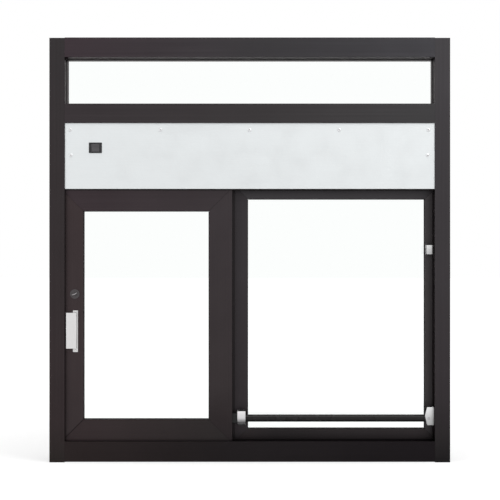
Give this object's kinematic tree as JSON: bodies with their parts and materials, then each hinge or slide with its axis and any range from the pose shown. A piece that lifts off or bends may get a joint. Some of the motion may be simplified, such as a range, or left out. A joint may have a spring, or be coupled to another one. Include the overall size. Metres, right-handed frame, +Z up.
{
  "type": "concession window",
  "caption": "Sliding service window unit in a dark metal frame with a header panel, a transom light and a swinging drop bar that blocks the sash.",
  "frame": {"origin": "on the floor plane under the feet of the jambs, in the middle of the frame in width and depth", "axes": "+X to the right seen from the room side (the pictured side), +Y from the room side to the far side, +Z up"},
  "size_m": [1.2066, 0.1142, 1.279],
  "materials": {
    "bronze_aluminium": "dark bronze anodised",
    "black_aluminium": "dark anodised tube",
    "satin_aluminium": "satin clear anodised",
    "dark_grey_metal": "dark grey coated",
    "clear_glass": "clear polished",
    "black_rubber": "matte",
    "black_plastic": "moulded, fine grain",
    "grey_plastic": "moulded, satin",
    "steel": "zinc plated"
  },
  "bodies": {
    "frame": {"bar_clip": "satin_aluminium", "bar_saddle": "satin_aluminium", "fixed_bottom_rail": "bronze_aluminium", "fixed_gasket": "black_rubber", "fixed_glass": "clear_glass", "fixed_interlock": "bronze_aluminium", "fixed_left_stile": "bronze_aluminium", "fixed_right_stile": "bronze_aluminium", "fixed_setting_blocks": "black_rubber", "fixed_top_rail": "bronze_aluminium", "head": "bronze_aluminium", "header_back": "bronze_aluminium", "header_panel": "satin_aluminium", "header_soffit": "bronze_aluminium", "left_jamb": "bronze_aluminium", "left_pocket_cover": "bronze_aluminium", "lock_collar": "dark_grey_metal", "pivot_bracket": "satin_aluminium", "pivot_pin": "steel", "pull_handle": "satin_aluminium", "right_jamb": "bronze_aluminium", "right_pocket_cover": "bronze_aluminium", "saddle_liner": "black_rubber", "saddle_pad": "black_rubber", "sash_bottom_rail": "bronze_aluminium", "sash_gasket": "black_rubber", "sash_glass": "clear_glass", "sash_interlock": "bronze_aluminium", "sash_left_stile": "bronze_aluminium", "sash_right_stile": "bronze_aluminium", "sash_roller_housings": "steel", "sash_roller_wheels": "steel", "sash_top_rail": "bronze_aluminium", "seal_strips": "black_rubber", "sill": "bronze_aluminium", "sill_track": "satin_aluminium", "switch_bezel": "black_plastic", "transom_bar": "bronze_aluminium", "transom_fillers": "bronze_aluminium", "transom_gasket": "black_rubber", "transom_glass": "clear_glass"},
    "bar": {"bar_end_cap": "black_rubber", "security_bar": "black_aluminium"},
    "turn": {"thumbturn": "dark_grey_metal"},
    "rocker": {"switch_rocker": "grey_plastic"}
  },
  "joints": [
    {"name": "bar_swing", "type": "hinge", "parent": "frame", "child": "bar", "pos_m": [0.5412, -0.02015, 0.1294], "axis": [0, 1, 0], "range_deg": [0, 90]},
    {"name": "lock_turn", "type": "hinge", "parent": "frame", "child": "turn", "pos_m": [-0.5284, -0.04215, 0.5063], "axis": [0, 1, 0], "range_deg": [-66.5, 23.5]},
    {"name": "switch_rock", "type": "hinge", "parent": "frame", "child": "rocker", "pos_m": [-0.465, -0.05265, 0.947], "axis": [-1, 0, 0], "range_deg": [0, 12]}
  ]
}
